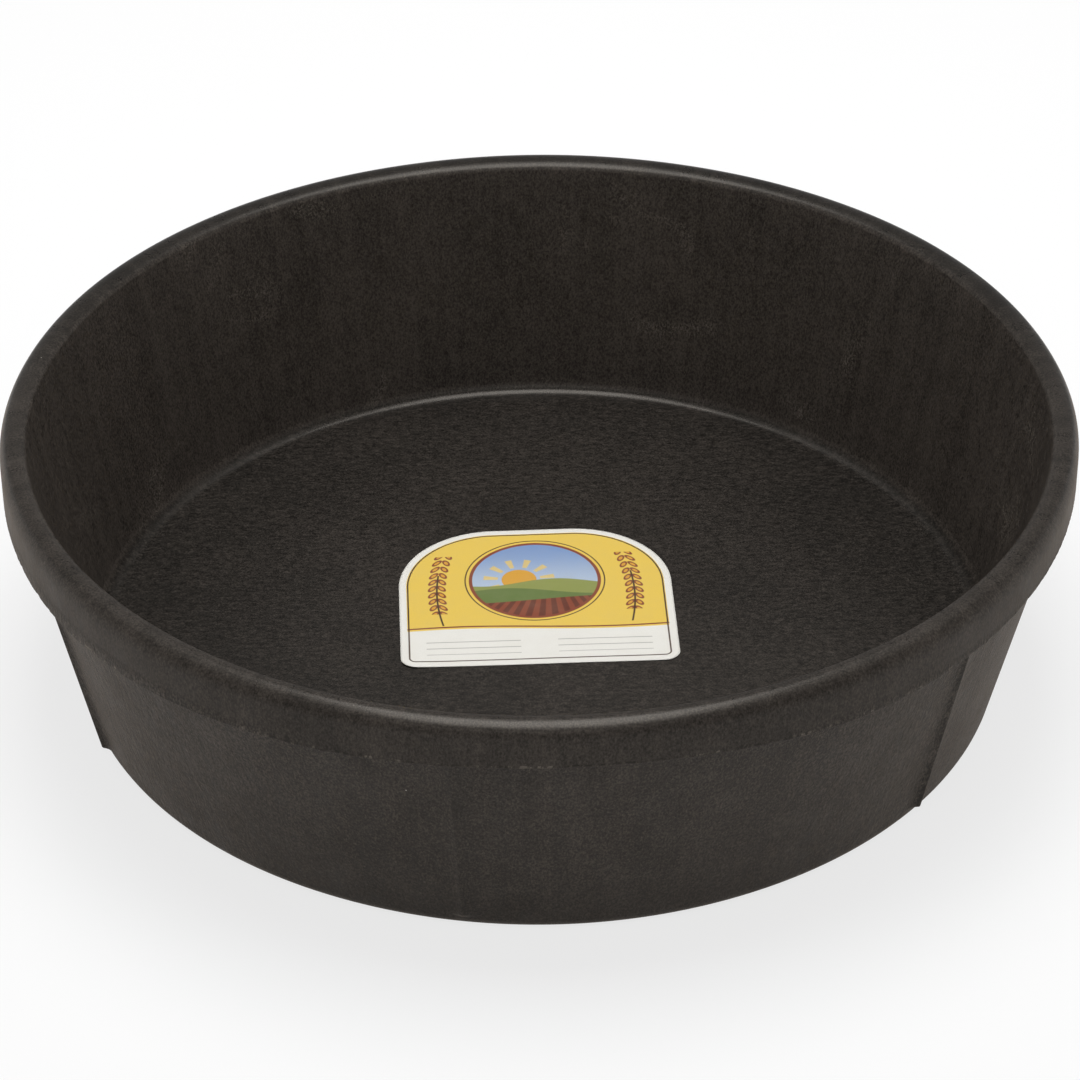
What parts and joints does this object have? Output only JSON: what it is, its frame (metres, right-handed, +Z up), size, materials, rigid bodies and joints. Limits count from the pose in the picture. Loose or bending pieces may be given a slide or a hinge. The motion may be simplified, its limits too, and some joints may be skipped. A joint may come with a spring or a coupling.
{
  "type": "rubber feed tub",
  "caption": "Shallow round feed tub of moulded black rubber, with a thick rim band, low outside ribs, a foot ring and a paper label on its floor.",
  "frame": {"origin": "centre of the foot ring, on the plane that the tub stands on", "axes": "+Z up along the tub's axis; -Y is the front, from which the label is read; +X to the right"},
  "size_m": [0.42, 0.42, 0.112],
  "materials": {
    "moulded_rubber": "matt, fibre-flecked, as moulded",
    "label_paper": "printed, satin"
  },
  "bodies": {
    "root": {"tub": "moulded_rubber", "label": "label_paper"}
  },
  "joints": []
}
